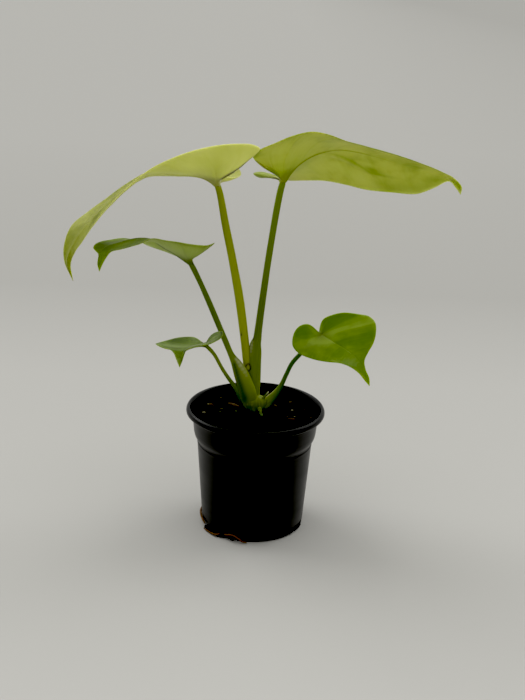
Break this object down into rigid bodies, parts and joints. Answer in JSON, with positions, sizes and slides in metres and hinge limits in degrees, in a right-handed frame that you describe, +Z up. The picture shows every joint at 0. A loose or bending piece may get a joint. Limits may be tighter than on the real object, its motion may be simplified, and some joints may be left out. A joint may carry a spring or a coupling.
{
  "type": "potted aroid plant",
  "caption": "Young heart-leaved climbing aroid with golden-green leaves, growing in a round black plastic nursery pot filled with soil; stands freely on the pot's flat base.",
  "frame": {"origin": "centre of the pot's flat base, on the surface it stands on", "axes": "+Z up along the pot's axis, -Y towards the viewer, +X to the viewer's right, towards the large right leaf"},
  "size_m": [0.3014, 0.1144, 0.3223],
  "materials": {
    "golden_leaf": "smooth, slightly waxy golden leaf",
    "lime_leaf": "smooth, slightly waxy lime leaf",
    "green_leaf": "smooth, glossy green leaf",
    "variegated_leaf": "smooth, glossy leaf, marbled dark and light green",
    "golden_stalk": "smooth olive-gold leaf stalk",
    "green_stalk": "smooth green leaf stalk with pale sheath edges",
    "crown_skin": "smooth young stem",
    "root_skin": "dry brown root",
    "bark": "rough pine bark",
    "black_plastic": "moulded black plastic with a satin gloss",
    "potting_mix": "damp dark potting mix, crumbly"
  },
  "bodies": {
    "root": {"large_left_stalk": "golden_stalk", "large_right_stalk": "green_stalk", "middle_left_stalk": "green_stalk", "small_left_stalk": "green_stalk", "small_right_stalk": "green_stalk", "new_shoot": "crown_skin", "stem_crown": "crown_skin", "aerial_root": "crown_skin", "drain_root_left": "root_skin", "drain_root_front": "root_skin", "drain_root_side": "root_skin", "large_left_blade": "golden_leaf", "large_right_blade": "lime_leaf", "middle_left_blade": "green_leaf", "small_left_blade": "green_leaf", "small_right_blade": "variegated_leaf", "bark_chip_back": "bark", "bark_chip_left": "bark", "bark_chip_right": "bark", "pot": "black_plastic", "soil": "potting_mix"}
  },
  "joints": []
}
